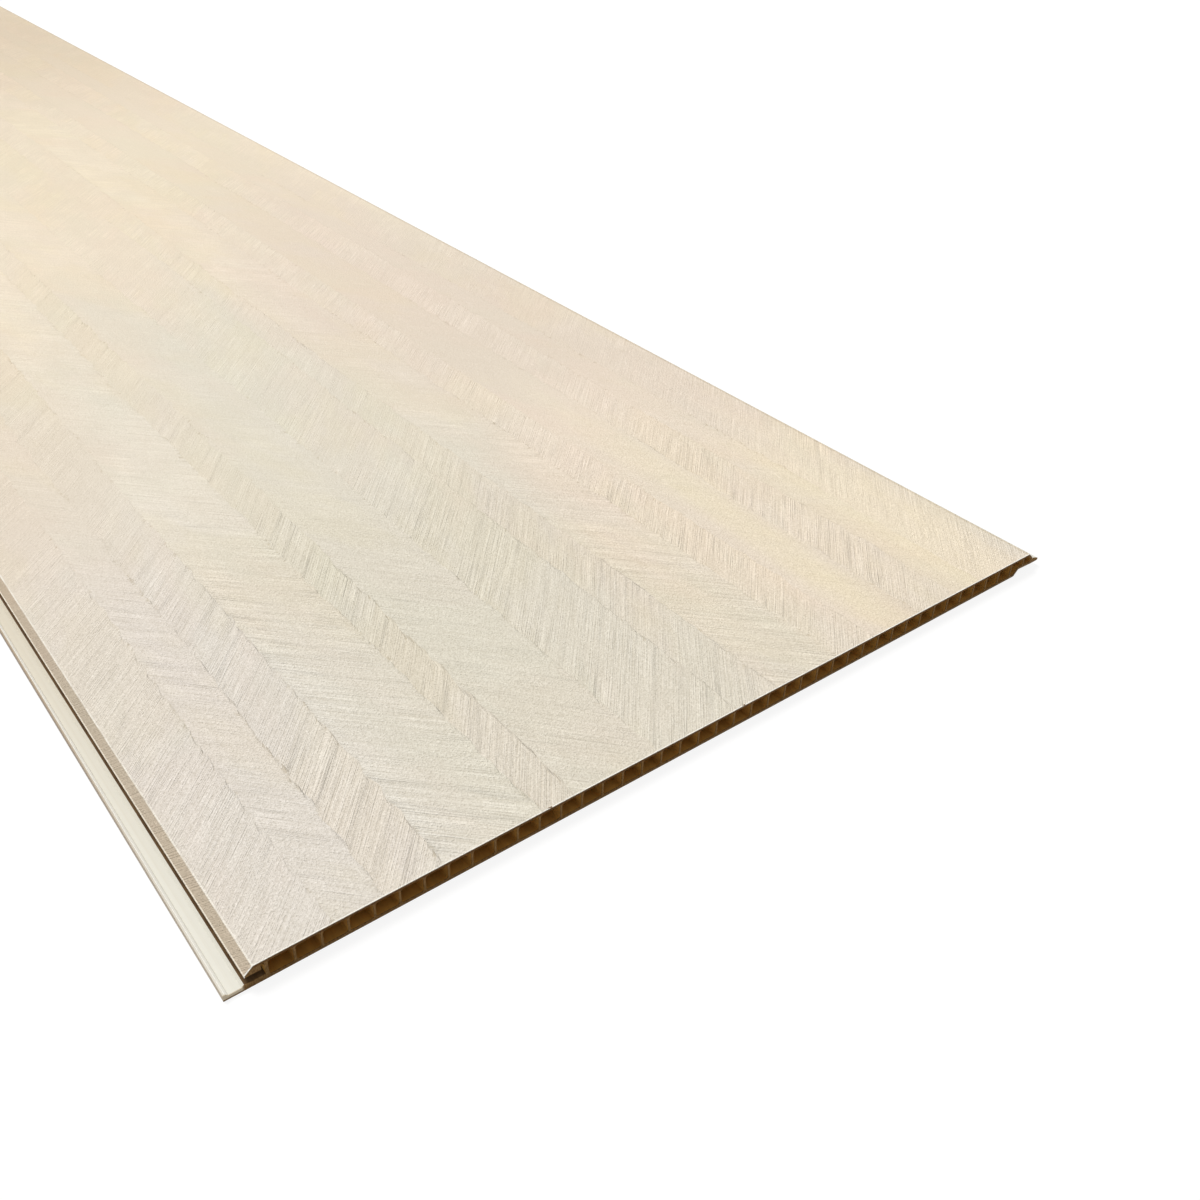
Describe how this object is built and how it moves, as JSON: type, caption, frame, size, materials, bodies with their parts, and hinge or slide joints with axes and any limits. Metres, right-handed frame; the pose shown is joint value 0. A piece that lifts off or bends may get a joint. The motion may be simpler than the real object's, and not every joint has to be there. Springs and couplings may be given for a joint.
{
  "type": "wall cladding panel",
  "caption": "Long hollow-core wall cladding panel with bevelled edges, a tongue along one edge, a groove and nailing flange along the other, and an embossed decor film.",
  "frame": {"origin": "middle of the back face, midway along the length and midway across the cover width", "axes": "+X across the cover width from the groove edge to the tongue edge, +Y along the length, +Z from the wall out to the decorated face"},
  "size_m": [0.4125, 3, 0.009],
  "materials": {
    "profile": "extruded, cream outside and brown where sawn",
    "decor_film": "embossed matt film in cream and beige strips"
  },
  "bodies": {
    "root": {"hollow_profile": "profile", "decor_film": "decor_film"}
  },
  "joints": []
}
